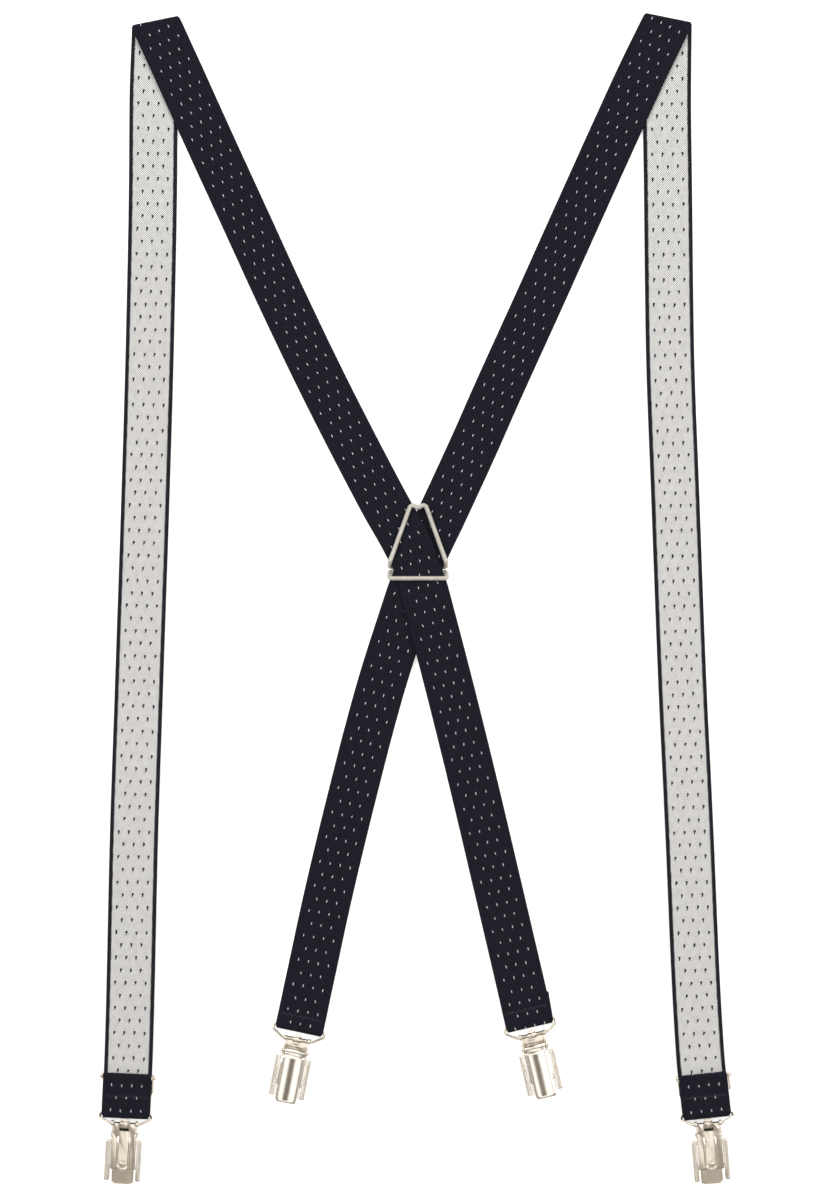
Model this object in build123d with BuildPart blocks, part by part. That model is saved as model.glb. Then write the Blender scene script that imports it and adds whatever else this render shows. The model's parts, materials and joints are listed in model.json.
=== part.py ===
from build123d import *
from math import asin, atan, cos, degrees, radians, sin, sqrt
import os

# Men's X-back clip braces, lying flat with their inner side up at the front and outer side up at the back.
# Frame: X to the right, Y from the clips towards the shoulders, Z up, millimetres.
# The origin is the middle of the underside, at the surface that the braces lie on.

os.makedirs("parts", exist_ok=True)

# ---------------------------------------------------------------- webbing
WEB_WIDTH = 25.0
WEB_THICK = 1.1
LAYER_GAP = 0.1  # air between two layers that lie on each other
SHOULDER_ROLL = 0.6  # inside radius of the flat fold at each shoulder
FOLD_WIDTH = WEB_WIDTH / cos(radians(12.3))  # the fold line cuts the webbing askew
BACK_LOOP = 1.0  # inside radius of the sewn loops that hold the back rings
BACK_RISE = 10.26  # length over which a back run climbs from its flap to its loop
FLAP_LENGTH = 14.0  # sewn-down end behind each back loop

# ---------------------------------------------------------------- crossing wire
WIRE_R = 1.15
WIRE_LOW = WIRE_R  # wire axis where it runs under the straps
CROSS_LOW = 2 * WIRE_R + 0.2  # underside of the lower strap where it lies on the wire
CROSS_HIGH = CROSS_LOW + WEB_THICK + LAYER_GAP
WIRE_HIGH = CROSS_HIGH + WEB_THICK + LAYER_GAP + WIRE_R

# ---------------------------------------------------------------- front ends and adjusters
FRONT_LIFT = 2.0  # underside of the front runs where they pass over the adjusters
FRONT_LOOP = 1.175  # inside radius of the loop that holds a front ring
FRONT_AXIS_Z = FRONT_LIFT + WEB_THICK + FRONT_LOOP
BAR_WRAP = 0.55  # inside radius of the webbing round the adjuster's cross bar
BAR_Y = 19.5  # cross bar above the ring's bar, along the strap
BAR_Z = FRONT_AXIS_Z + FRONT_LOOP - BAR_WRAP
FRONT_FLAP = 12.0
EAR_IN = 13.2
EAR_THICK = 0.8
ADJUSTER_TOP = 21.3
ADJUSTER_BOTTOM = 10.5
ADJUSTER_PIN_R = 0.45
ADJUSTER_PIN_Z = 0.95

# ---------------------------------------------------------------- clip, in its own frame
# origin on the barrel's axis, x across, y towards the strap, z to the lever's side
SHEET = 0.8
RING_R = 0.65
RING_HALF = 13.3  # half of the bar in the strap's loop, at the wire's axis
RING_REACH = 6.0  # from that bar to the bar in the barrel
RING_NECK = 7.9
RING_STRAIGHT = 2.6  # the sides run straight past the webbing before they draw in
BARREL_HALF = 7.1
BARREL_R = 1.5
BASE_BACK = -BARREL_R
BASE_FRONT = BASE_BACK + SHEET
BASE_HALF = 6.3
BASE_END = 24.2
LEVER_PIN = (-6.0, 3.2)
LEVER_PIN_R = 0.6
LEVER_ROLL = 1.4
LEVER_HALF = 5.5
LEVER_TOP = 5.2
LEVER_END = 33.0
JAW_PIN = (-6.9, 0.7)
JAW_PIN_R = 0.5
JAW_HALF = 9.35
JAW_START = 8.9
JAW_END = 29.9
BACK_JAW_TOP = BASE_FRONT + SHEET
FRONT_JAW_TOP = 3.0
JAW_MEET = 1.1  # height where the two rows of teeth meet
RIVET_Y = -20.9
RUNNING = 0.05  # radial clearance of every pin in its hole
TOOTH_PITCH = 1.1
TEETH = 17
TOOTH_NOTCH = 0.45

# ---------------------------------------------------------------- places in plan
# back loops and front loops: axis of the ring's bar, yaw of the loop, yaw of the clip
BACK_ENDS = {
    "left_back": ((-60.5, -220.6), -12.0, -11.0),
    "right_back": ((58.5, -218.3), 13.1, 13.1),
}
BACK_SEAMS = {"left_back": 6.0, "right_back": 7.7}  # seam above the ring's bar, along the strap
FRONT_SEAM = 9.3
FRONT_ENDS = {
    "left_front": ((-150.1, -264.7), -2.5, -3.3),
    "right_front": ((149.9, -264.7), 6.0, 5.0),
}
BACK_BARREL_Z = 2.45
FRONT_DROP = 4.4  # plan distance from a front ring's bar to its barrel
FRONT_BARREL_Z = FRONT_AXIS_Z + sqrt(RING_REACH**2 - FRONT_DROP**2)
FRONT_PITCH = degrees(asin((FRONT_BARREL_Z - LEVER_TOP) / LEVER_END))

# stations of each strap: x, y, underside z, yaw of the line across the webbing
LEFT_FRONT_RUN = [
    (-145.8, -113.1, FRONT_LIFT, -1.6),
    (-145.3, -98.0, FRONT_LIFT, -1.7),
    (-143.6, -45.0, 0, -1.9),
    (-140.3, 52.5, 0, -1.8),
    (-137.9, 135.4, 0, -1.4),
    (-136.3, 218.2, 0, -0.7),
    (-136.0, 259.6, 0, -0.6),
]
LEFT_FOLD = (-134.7, 298.9, 11.5)
LEFT_DIAGONAL = [
    (-122.2, 271.6, 1.6, 23.5),
    (-108.6, 241.5, 1.3, 24.5),
    (-88.0, 196.6, 0, 24.6),
    (-69.4, 156.1, 0, 25.3),
    (-47.2, 110.0, 0, 26.4),
    (-17.0, 51.5, CROSS_HIGH, 27.5),
    (-2.8, 25.5, CROSS_HIGH, 26.0),
    (1.4, 14.5, CROSS_HIGH, 19.0),
    (8.7, -12.0, CROSS_HIGH, 15.6),
    (24.8, -75.0, 0, 14.2),
    (43.7, -154.5, 0, 13.2),
    (52.0, -190.0, 0, 13.1),
    (54.9, -202.5, WEB_THICK + LAYER_GAP, 13.1),
    (56.2, -208.3, WEB_THICK + LAYER_GAP, 13.1),
]
RIGHT_FRONT_RUN = [
    (140.8, -113.1, FRONT_LIFT, 2.7),
    (140.1, -98.0, FRONT_LIFT, 2.6),
    (137.7, -45.0, 0, 2.4),
    (134.0, 52.5, 0, 2.0),
    (131.1, 135.4, 0, 1.2),
    (130.1, 218.2, 0, 0.7),
    (129.6, 259.6, 0, 0.4),
]
RIGHT_FOLD = (129.9, 300.4, -11.5)
RIGHT_DIAGONAL = [
    (117.0, 274.0, 1.6, -23.5),
    (103.0, 243.5, 1.3, -24.3),
    (81.8, 196.6, 0, -24.3),
    (63.6, 156.1, 0, -24.3),
    (40.1, 104.3, 0, -24.3),
    (31.3, 84.3, 0, -24.3),
    (13.0, 44.5, CROSS_LOW, -24.6),
    (3.9, 25.0, CROSS_LOW, -23.0),
    (-0.4, 12.0, CROSS_LOW, -18.0),
    (-6.0, -5.0, CROSS_LOW, -16.8),
    (-18.7, -45.0, 0, -15.6),
    (-33.9, -102.7, 0, -14.4),
    (-46.3, -154.5, 0, -13.0),
    (-54.4, -192.0, 0, -12.2),
    (-57.1, -204.6, WEB_THICK + LAYER_GAP, -12.0),
    (-58.3, -210.4, WEB_THICK + LAYER_GAP, -12.0),
]


def across(yaw):
    """Direction across the webbing."""
    return (cos(radians(yaw)), sin(radians(yaw)), 0)


def along(yaw):
    """Direction along the webbing, towards the shoulder."""
    return (-sin(radians(yaw)), cos(radians(yaw)), 0)


def station_plane(x, y, z, yaw):
    """Plane square to the webbing, at the middle of its thickness."""
    return Plane((x, y, z + WEB_THICK / 2), x_dir=across(yaw), z_dir=along(yaw))


def ribbon(stations, first_width=WEB_WIDTH):
    """Flat webbing through its stations."""
    with BuildPart() as run:
        for number, station in enumerate(stations):
            with BuildSketch(station_plane(*station)):
                Rectangle(first_width if number == 0 else WEB_WIDTH, WEB_THICK)
        loft(ruled=True)
    return run.part


def half_tube(frame, inner, side, width):
    """Half of a tube of webbing about the frame's X axis, on its side (1 or -1) along Y."""
    outer = inner + WEB_THICK
    with BuildPart() as turn:
        with BuildSketch(Plane(frame.origin, x_dir=frame.y_dir, z_dir=frame.x_dir)):
            Circle(outer)
            Circle(inner, mode=Mode.SUBTRACT)
            with Locations((-side * outer, 0)):
                Rectangle(2 * outer, 2 * outer, mode=Mode.SUBTRACT)
        extrude(amount=width / 2, both=True)
    return turn.part


def strap(front_run, fold, diagonal, end):
    """One strap as two solids that meet face to face on top of its fold at the shoulder:
    the front run with the fold, and the back run with its sewn loop."""
    x, y, yaw = fold
    roll_z = WEB_THICK + SHOULDER_ROLL
    roll_frame = Plane((x, y, roll_z), x_dir=across(yaw), z_dir=(0, 0, 1))
    upper = roll_z + SHOULDER_ROLL
    (end_x, end_y), end_yaw, _ = end
    axis_z = WEB_THICK + BACK_LOOP
    loop_frame = Plane((end_x, end_y, axis_z), x_dir=across(end_yaw), z_dir=(0, 0, 1))
    lower_run = ribbon([(x, y, 0, yaw), *reversed(front_run)], FOLD_WIDTH)
    last = (end_x, end_y, axis_z + BACK_LOOP, end_yaw)
    upper_run = ribbon([(x, y, upper, yaw), *diagonal, last], FOLD_WIDTH)
    with BuildPart() as front:
        add(lower_run)
        add(half_tube(roll_frame, SHOULDER_ROLL, 1, FOLD_WIDTH))
    with BuildPart() as back:
        add(upper_run)
        add(half_tube(loop_frame, BACK_LOOP, -1, WEB_WIDTH))
        with BuildSketch(Plane((end_x, end_y, 0), x_dir=across(end_yaw), z_dir=(0, 0, 1))):
            with Locations((0, FLAP_LENGTH / 2)):
                Rectangle(WEB_WIDTH, FLAP_LENGTH)
        extrude(amount=WEB_THICK)
    return front.part, back.part


def wire_path(corners, radii, wire_r):
    """Round wire along straight runs with rounded corners."""
    with BuildPart() as wire:
        with BuildLine() as centre:
            FilletPolyline(*corners, radius=radii)
        with BuildSketch(Plane(centre.line @ 0, z_dir=centre.line % 0)):
            Circle(wire_r)
        sweep(path=centre.line)
    return wire.part


# ---------------------------------------------------------------- crossing wire
# A bent wire, butt-jointed at the middle of its top. Its sides and bottom bar lie over the
# straps, and each side turns under the webbing as a hairpin just above the bottom bar.
TOP_DIP = (0.9, 48.3)
HAIRPIN_UPPER = 17.9
HAIRPIN_LOWER = 15.3
BOTTOM_BAR = 12.0
BUTT_GAP = 0.05


def crossing_wire_side(peak, shoulder, bulge, foot, depth):
    """Corners of one side of the crossing wire, from its peak to its bottom bar."""
    return [
        (*peak, WIRE_HIGH),
        (*shoulder, WIRE_HIGH),
        (bulge, HAIRPIN_UPPER, WIRE_LOW),
        (depth, HAIRPIN_UPPER, WIRE_LOW),
        (depth, HAIRPIN_LOWER, WIRE_LOW),
        (foot, HAIRPIN_LOWER, WIRE_LOW),
        (foot, BOTTOM_BAR, WIRE_HIGH),
    ]


left_side = crossing_wire_side((-2.9, 50.2), (-13.7, 20.6), -14.0, -14.1, -5.5)
right_side = crossing_wire_side((4.5, 50.4), (15.2, 20.6), 15.5, 15.6, 7.0)
corner_radii = [1.7, 1.5, 1.3, 1.24, 1.24, 1.3, 1.5]
crossing_wire = wire_path(
    [
        (TOP_DIP[0] - BUTT_GAP, TOP_DIP[1], WIRE_HIGH),
        *left_side,
        *reversed(right_side),
        (TOP_DIP[0] + BUTT_GAP, TOP_DIP[1], WIRE_HIGH),
    ],
    corner_radii + corner_radii[::-1],
    WIRE_R,
)

# ---------------------------------------------------------------- straps
left_front, left_back = strap(
    LEFT_FRONT_RUN, LEFT_FOLD, LEFT_DIAGONAL, BACK_ENDS["right_back"]
)
right_front, right_back = strap(
    RIGHT_FRONT_RUN, RIGHT_FOLD, RIGHT_DIAGONAL, BACK_ENDS["left_back"]
)


def edge_notch(side, bulge, foot):
    """Room for the crossing wire where it squeezes one edge of the webbing."""
    middle = (HAIRPIN_UPPER + HAIRPIN_LOWER) / 2
    with BuildPart() as notch:
        with BuildSketch():
            with Locations(((bulge + foot) / 2 + side * WIRE_R, middle)):
                RectangleRounded(5.0 * WIRE_R, 10.0 * WIRE_R, 1.5 * WIRE_R)
        extrude(amount=WIRE_HIGH + WIRE_R)
    return notch.part


with BuildPart() as left_notched:
    add(left_back)
    add(edge_notch(-1, -14.0, -14.1), mode=Mode.SUBTRACT)
    add(edge_notch(1, 15.5, 15.6), mode=Mode.SUBTRACT)
with BuildPart() as right_notched:
    add(right_back)
    add(edge_notch(-1, -14.0, -14.1), mode=Mode.SUBTRACT)
    add(edge_notch(1, 15.5, 15.6), mode=Mode.SUBTRACT)

# ---------------------------------------------------------------- front end of the webbing
RUN_TOP = 31.0  # where the end's own straight profile meets the run above


def front_webbing(end, split):
    """Webbing from the split down through the ring, back up, round the cross bar and sewn."""
    (x, y), yaw, _ = end
    run_z = FRONT_LIFT + WEB_THICK / 2
    loop_r = FRONT_LOOP + WEB_THICK / 2
    wrap_r = BAR_WRAP + WEB_THICK / 2
    joint_x = x + RUN_TOP * along(yaw)[0]
    joint_y = y + RUN_TOP * along(yaw)[1]
    with BuildPart() as webbing:
        with BuildSketch(Plane((x, y, 0), x_dir=along(yaw), z_dir=across(yaw))):
            with BuildLine():
                Line((RUN_TOP, run_z), (0, run_z))
                CenterArc((0, run_z + loop_r), loop_r, 90, 180)
                Line((0, run_z + 2 * loop_r), (BAR_Y, run_z + 2 * loop_r))
                CenterArc((BAR_Y, BAR_Z), wrap_r, -90, 180)
                Line((BAR_Y, BAR_Z - wrap_r), (BAR_Y - FRONT_FLAP, BAR_Z - wrap_r))
            trace(line_width=WEB_THICK)
        extrude(amount=WEB_WIDTH / 2, both=True)
        for station in [(joint_x, joint_y, FRONT_LIFT, yaw), split]:
            with BuildSketch(station_plane(*station)):
                Rectangle(WEB_WIDTH, WEB_THICK)
        loft(ruled=True)
    return webbing.part


# ---------------------------------------------------------------- adjuster, in the end's frame
# origin under the ring's bar, x across, y up the strap, z up from the floor
def adjuster_frame():
    """Two ears joined by the cross bar that the webbing's end is sewn round."""
    with BuildPart() as frame:
        for side in (-1, 1):
            middle = side * (EAR_IN + EAR_THICK / 2)
            with BuildSketch(Plane.YZ.offset(middle)):
                with Locations(((ADJUSTER_TOP + ADJUSTER_BOTTOM) / 2, 3.1)):
                    RectangleRounded(ADJUSTER_TOP - ADJUSTER_BOTTOM, 5.9, 1.2)
                with Locations((BAR_Y, ADJUSTER_PIN_Z)):
                    Circle(ADJUSTER_PIN_R, mode=Mode.SUBTRACT)
            extrude(amount=EAR_THICK / 2, both=True)
        with BuildSketch(Plane.YZ):
            with Locations((BAR_Y - 0.6, BAR_Z)):
                RectangleRounded(2.0, 0.8, 0.35)
        extrude(amount=EAR_IN + EAR_THICK / 2, both=True)
    return frame.part


def adjuster_pin():
    with BuildPart() as pin:
        with BuildSketch(Plane.YZ):
            with Locations((BAR_Y, ADJUSTER_PIN_Z)):
                Circle(ADJUSTER_PIN_R)
        extrude(amount=EAR_IN + EAR_THICK, both=True)
    return pin.part


def adjuster_lever():
    """Toothed flap on the outer side, hinged on the pin."""
    half = EAR_IN - 0.3
    with BuildPart() as lever:
        with BuildSketch(Plane.XY.offset(0.1)):
            with Locations((0, (BAR_Y + ADJUSTER_BOTTOM - 1) / 2)):
                RectangleRounded(2 * half, BAR_Y - ADJUSTER_BOTTOM + 1, 0.9)
        extrude(amount=SHEET)
        with BuildSketch(Plane.YZ):
            with Locations((BAR_Y, ADJUSTER_PIN_Z)):
                Circle(0.85)
        extrude(amount=half, both=True)
        with BuildSketch(Plane.YZ):
            with Locations((BAR_Y, ADJUSTER_PIN_Z)):
                Circle(ADJUSTER_PIN_R + RUNNING)
        extrude(amount=half, both=True, mode=Mode.SUBTRACT)
        with BuildSketch(Plane.XY.offset(0.1 + SHEET)):
            with Locations((0, BAR_Y - 2.2)):
                with GridLocations(2.2, 1, 11, 1):
                    RegularPolygon(0.7, 4)
        extrude(amount=0.9, taper=25)
    return lever.part


# ---------------------------------------------------------------- stitching
def zigzag(frame, y, z, stitches=15, height=1.8):
    """Zigzag seam across the webbing, y up the frame and z above it: one short thread per stitch."""
    pitch = (WEB_WIDTH - 3) / stitches
    slant = degrees(asin(height / sqrt(height**2 + pitch**2)))
    with BuildPart() as seam:
        for number in range(stitches):
            middle = (number - (stitches - 1) / 2) * pitch
            turn = slant if number % 2 else -slant
            with BuildSketch(frame.offset(z)):
                with Locations(Location((middle, y), turn)):
                    SlotCenterToCenter(height - 0.45, 0.3)
            extrude(amount=0.2)
    return seam.part


# ---------------------------------------------------------------- clip pieces
def ring():
    """Wire trapezium: origin on the bar in the strap's loop, its neck bar towards -Y."""
    right = [
        (BUTT_GAP, -RING_REACH, 0),
        (RING_NECK, -RING_REACH, 0),
        (RING_HALF, -RING_STRAIGHT, 0),
        (RING_HALF, 0, 0),
    ]
    left = [(-x, y, z) for x, y, z in reversed(right)]
    return wire_path(right + left, [1.0, 0.8, 1.1, 1.1, 0.8, 1.0], RING_R)


def base():
    """Barrel with three knuckles, neck, two ears for the pins, and a ribbed tongue."""
    with BuildPart() as plate:
        with BuildSketch(Plane.YZ):
            Circle(BARREL_R)
        extrude(amount=BARREL_HALF, both=True)
        with BuildSketch(Plane.XY.offset(BASE_BACK)):
            with Locations((0, -1.9)):
                Rectangle(10.9, 3.8)
            with Locations((0, -(3.3 + BASE_END) / 2)):
                RectangleRounded(2 * BASE_HALF, BASE_END - 3.3, 0.9)
        extrude(amount=SHEET)
        with BuildSketch(Plane.XY.offset(BASE_BACK - 0.6)):
            with BuildLine():
                Line((3.0, -5.6), (3.0, -20.6))
                CenterArc((0, -20.6), 3.0, 180, 180)
                Line((-3.0, -20.6), (-3.0, -5.6))
            trace(line_width=1.2)
        extrude(amount=0.6)
        for side in (-1, 1):
            with BuildSketch(Plane.YZ.offset(side * (BASE_HALF - SHEET / 2 + 0.05))):
                with BuildLine():
                    Polyline((-3.5, BASE_BACK), (-7.9, BASE_BACK), (-7.9, LEVER_PIN[1]))
                    ThreePointArc(
                        (-7.9, LEVER_PIN[1]),
                        (-5.7, LEVER_PIN[1] + 1.6),
                        (-3.5, LEVER_PIN[1]),
                    )
                    Line((-3.5, LEVER_PIN[1]), (-3.5, BASE_BACK))
                make_face()
            extrude(amount=SHEET / 2 - 0.05, both=True)
        with BuildSketch(Plane.YZ):
            Circle(RING_R + RUNNING)
            with Locations(LEVER_PIN):
                Circle(LEVER_PIN_R)
            with Locations(JAW_PIN):
                Circle(JAW_PIN_R)
        extrude(amount=2 * BARREL_HALF, both=True, mode=Mode.SUBTRACT)
        with BuildSketch(Plane.XY.offset(-BARREL_R)):
            with Locations((-3.9, BARREL_R), (3.9, BARREL_R)):
                Rectangle(3.4, 2 * BARREL_R - 0.5)
        extrude(amount=2 * BARREL_R, mode=Mode.SUBTRACT)
        with BuildSketch(Plane.XY.offset(BASE_BACK)):
            with Locations((0, RIVET_Y)):
                Circle(1.1)
        extrude(amount=SHEET, mode=Mode.SUBTRACT)
    return plate.part


def jaw_plate(bottom, lip_low, lip_high, notch_low, notch_high):
    """Jaw plate with a toothed lip along each long edge."""
    length = JAW_END - JAW_START
    middle = -(JAW_START + JAW_END) / 2
    with BuildPart() as jaw:
        with BuildSketch(Plane.XY.offset(bottom)):
            with Locations((0, middle)):
                RectangleRounded(2 * JAW_HALF, length, 0.6)
        extrude(amount=SHEET)
        with BuildSketch(Plane.XY.offset(lip_low)):
            with Locations((0, middle)):
                with GridLocations(2 * JAW_HALF - SHEET, 1, 2, 1):
                    Rectangle(SHEET, length - 1.6)
        extrude(amount=lip_high - lip_low)
        with BuildSketch(Plane.XY.offset(notch_low)):
            with Locations((0, middle)):
                with GridLocations(2 * JAW_HALF - SHEET, TOOTH_PITCH, 2, TEETH):
                    Rectangle(2 * SHEET, TOOTH_NOTCH)
        extrude(amount=notch_high - notch_low, mode=Mode.SUBTRACT)
    return jaw.part


def back_jaw():
    """Fixed jaw, riveted on the tongue."""
    with BuildPart() as jaw:
        add(jaw_plate(BASE_FRONT, BACK_JAW_TOP, JAW_MEET - 0.1, 0.5, JAW_MEET))
        with BuildSketch(Plane.XY.offset(BASE_FRONT)):
            with Locations((0, RIVET_Y)):
                Circle(1.1)
        extrude(amount=SHEET, mode=Mode.SUBTRACT)
    return jaw.part


def front_jaw():
    """Moving jaw, with a neck that turns on the jaw pin."""
    bottom = FRONT_JAW_TOP - SHEET
    pin_y, pin_z = JAW_PIN
    with BuildPart() as jaw:
        add(jaw_plate(bottom, JAW_MEET + 0.1, bottom, JAW_MEET, 1.7))
        with BuildSketch(Plane.YZ):
            with BuildLine():
                Polyline(
                    (-10.5, bottom),
                    (-9.1, bottom),
                    (pin_y - 1.0, pin_z),
                    (pin_y, pin_z),
                    (pin_y, pin_z + 1.0),
                    (-8.6, FRONT_JAW_TOP),
                    (-10.5, FRONT_JAW_TOP),
                    close=True,
                )
            make_face()
            with Locations(JAW_PIN):
                Circle(1.0)
                Circle(JAW_PIN_R + RUNNING, mode=Mode.SUBTRACT)
        extrude(amount=5.2, both=True)
    return jaw.part


def lever():
    """Folded channel with a rolled end that turns on the lever pin."""
    pin_y, pin_z = LEVER_PIN
    flange_low = FRONT_JAW_TOP + 0.15
    top_start = 7.7
    with BuildPart() as channel:
        with BuildSketch(Plane.XY.offset(flange_low)):
            with Locations((0, -(top_start + LEVER_END) / 2)):
                RectangleRounded(2 * LEVER_HALF, LEVER_END - top_start, 1.2)
        extrude(amount=LEVER_TOP - flange_low)
        with BuildSketch(Plane.XY.offset(flange_low)):
            with Locations((0, -(top_start + LEVER_END) / 2)):
                RectangleRounded(
                    2 * (LEVER_HALF - SHEET), LEVER_END - top_start - 2 * SHEET, 0.5
                )
        extrude(amount=LEVER_TOP - SHEET - flange_low, mode=Mode.SUBTRACT)
        with BuildSketch(Plane.YZ):
            with Locations(LEVER_PIN):
                Circle(LEVER_ROLL)
        extrude(amount=LEVER_HALF - 0.1, both=True)
        with BuildSketch(Plane.XY.offset(flange_low)):
            with Locations((0, (pin_y - top_start - SHEET) / 2)):
                Rectangle(2 * (LEVER_HALF - 0.1), top_start + SHEET + pin_y)
        extrude(amount=pin_z + 1.1 - flange_low)
        with BuildSketch(Plane.YZ):
            with Locations(LEVER_PIN):
                Circle(LEVER_PIN_R + RUNNING)
        extrude(amount=2 * LEVER_HALF, both=True, mode=Mode.SUBTRACT)
    return channel.part


def pin(place, radius, half):
    """Pin across the ears."""
    with BuildPart() as rod:
        with BuildSketch(Plane.YZ):
            with Locations(place):
                Circle(radius)
        extrude(amount=half, both=True)
    return rod.part


def rivet():
    """Rivet that holds the back jaw on the tongue."""
    with BuildPart() as stud:
        with BuildSketch(Plane((0, RIVET_Y, 0), x_dir=(1, 0, 0), z_dir=(0, -1, 0))):
            with BuildLine():
                Polyline(
                    (0, BASE_BACK - 0.8),
                    (1.3, BASE_BACK - 0.8),
                    (2.0, BASE_BACK - 0.35),
                    (2.0, BASE_BACK),
                    (1.1, BASE_BACK),
                    (1.1, BACK_JAW_TOP),
                    (1.7, BACK_JAW_TOP),
                    (1.2, BACK_JAW_TOP + 0.6),
                    (0, BACK_JAW_TOP + 0.6),
                    close=True,
                )
            make_face()
        revolve(axis=Axis((0, RIVET_Y, 0), (0, 0, 1)))
    return stud.part


RING = ring()
CLIP_PIECES = {
    "base": base(),
    "back_jaw": back_jaw(),
    "jaw_rivet": rivet(),
    "lever_pin": pin(LEVER_PIN, LEVER_PIN_R, 7.1),
    "jaw_pin": pin(JAW_PIN, JAW_PIN_R, 6.9),
    "front_jaw": front_jaw(),
    "lever": lever(),
}


def write(piece, name):
    piece.label = name
    export_step(piece, f"parts/{name}.step")


def write_clip(name, bar, yaw, barrel_z, drop, side, pitch):
    """Ring and clip: side is 1 with the lever up and -1 with the lever down."""
    x, y, z = bar
    down = Vector(*along(yaw)) * -1
    barrel = Vector(x, y, barrel_z) + down * drop
    reach = (barrel - Vector(x, y, z)).normalized()
    ring_x = Vector(*across(yaw)) * side
    ring_frame = Plane((x, y, z), x_dir=ring_x, z_dir=ring_x.cross(reach * -1))
    write(ring_frame.location * RING, f"{name}_ring")
    up = down * -cos(radians(pitch)) + Vector(0, 0, sin(radians(pitch)))
    clip_frame = Plane(barrel, x_dir=ring_x, z_dir=ring_x.cross(up))
    for piece_name, piece in CLIP_PIECES.items():
        write(clip_frame.location * piece, f"{name}_{piece_name}")


write(crossing_wire, "crossing_wire")
write(left_front, "left_strap_front_run")
write(left_notched.part, "left_strap_back_run")
write(right_front, "right_strap_front_run")
write(right_notched.part, "right_strap_back_run")

LOOP_TOP = 2 * WEB_THICK + 2 * BACK_LOOP
RUN_TILT = atan((2 * BACK_LOOP - LAYER_GAP) / BACK_RISE)

for name, ((x, y), loop_yaw, clip_yaw) in BACK_ENDS.items():
    bar_z = WEB_THICK + BACK_LOOP
    plan_reach = sqrt(RING_REACH**2 - (BACK_BARREL_Z - bar_z) ** 2)
    write_clip(name, (x, y, bar_z), clip_yaw, BACK_BARREL_Z, plan_reach, 1, 0)
    run_normal = Vector(*along(loop_yaw)) * sin(RUN_TILT) + Vector(0, 0, cos(RUN_TILT))
    seam_frame = Plane((x, y, LOOP_TOP), x_dir=across(loop_yaw), z_dir=run_normal)
    write(zigzag(seam_frame, BACK_SEAMS[name], 0.1), f"{name}_stitching")

for name, ((x, y), loop_yaw, clip_yaw) in FRONT_ENDS.items():
    write_clip(
        name, (x, y, FRONT_AXIS_Z), clip_yaw, FRONT_BARREL_Z, FRONT_DROP, -1, FRONT_PITCH
    )
    end_frame = Plane((x, y, 0), x_dir=across(loop_yaw), z_dir=(0, 0, 1))
    split = LEFT_FRONT_RUN[0] if name == "left_front" else RIGHT_FRONT_RUN[0]
    write(front_webbing(FRONT_ENDS[name], split), f"{name}_webbing")
    write(end_frame.location * adjuster_frame(), f"{name}_adjuster_frame")
    write(end_frame.location * adjuster_pin(), f"{name}_adjuster_pin")
    write(end_frame.location * adjuster_lever(), f"{name}_adjuster_lever")
    return_top = FRONT_AXIS_Z + FRONT_LOOP + WEB_THICK
    write(zigzag(end_frame, FRONT_SEAM, return_top + 0.05), f"{name}_stitching")
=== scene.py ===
import json
import math
import random

import bpy
import numpy as np
from mathutils import Matrix, Vector


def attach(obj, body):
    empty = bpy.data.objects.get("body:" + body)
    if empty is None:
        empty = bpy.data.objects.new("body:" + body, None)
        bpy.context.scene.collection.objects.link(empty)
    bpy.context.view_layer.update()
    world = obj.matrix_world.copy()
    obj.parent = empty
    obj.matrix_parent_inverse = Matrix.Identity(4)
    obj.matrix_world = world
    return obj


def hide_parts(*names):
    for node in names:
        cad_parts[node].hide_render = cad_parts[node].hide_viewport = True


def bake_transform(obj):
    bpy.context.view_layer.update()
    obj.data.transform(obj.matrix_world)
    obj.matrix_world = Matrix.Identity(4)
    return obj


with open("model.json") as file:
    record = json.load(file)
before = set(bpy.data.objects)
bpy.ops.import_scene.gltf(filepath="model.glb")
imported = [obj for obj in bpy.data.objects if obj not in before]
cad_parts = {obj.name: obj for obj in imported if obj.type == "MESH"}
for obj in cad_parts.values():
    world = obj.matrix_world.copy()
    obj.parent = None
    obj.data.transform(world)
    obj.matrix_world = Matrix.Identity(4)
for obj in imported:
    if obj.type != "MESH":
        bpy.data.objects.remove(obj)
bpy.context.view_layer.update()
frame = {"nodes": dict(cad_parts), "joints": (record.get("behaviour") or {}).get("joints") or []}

joint_at = {joint["name"]: Vector(joint.get("pos_m") or (0, 0, 0)) for joint in frame["joints"]}
MM = 0.001
UP = np.array([0.0, 0.0, 1.0])

# ---------------------------------------------------------------- webbing sizes, as in the CAD model
WEB_HALF = 0.0125
WEB_THICK = 0.0011
SHOULDER_ROLL = 0.0006
FOLD_STRETCH = 1 / math.cos(math.radians(12.3))
BACK_LOOP = 0.0010
BACK_FLAP = 0.0140
FRONT_LIFT = 0.0020
FRONT_LOOP = 0.001175
FRONT_AXIS_Z = FRONT_LIFT + WEB_THICK + FRONT_LOOP
BAR_WRAP = 0.00055
BAR_Y = 0.0195
BAR_Z = FRONT_AXIS_Z + FRONT_LOOP - BAR_WRAP
FRONT_FLAP = 0.0120
CROSS_LOW = 0.0025
CROSS_HIGH = 0.0037
OVER_FLAP = 0.0012
PINCH_Y = 0.0165  # where the crossing wire squeezes both straps
PINCH_REACH = 0.0065
PINCH_SHARE = 0.07
END_STRAIGHT = 0.031  # how far a front end lies straight above its ring
FRONT_SEAM = 0.0093  # from the ring up to the seam of a front end
FOLD_SPLIT = 0.0035  # from the fold down to where a run's webbing meets the strap's
RETURN_PATTERN = 0.0020  # from the ring up to a row of dashes on the return
RUN_PATTERN = 0.0285  # and on the run behind it
ROW_SPACING = 0.0018
EDGE_BEND = 0.0005  # width of the rounded edge of the webbing

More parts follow.
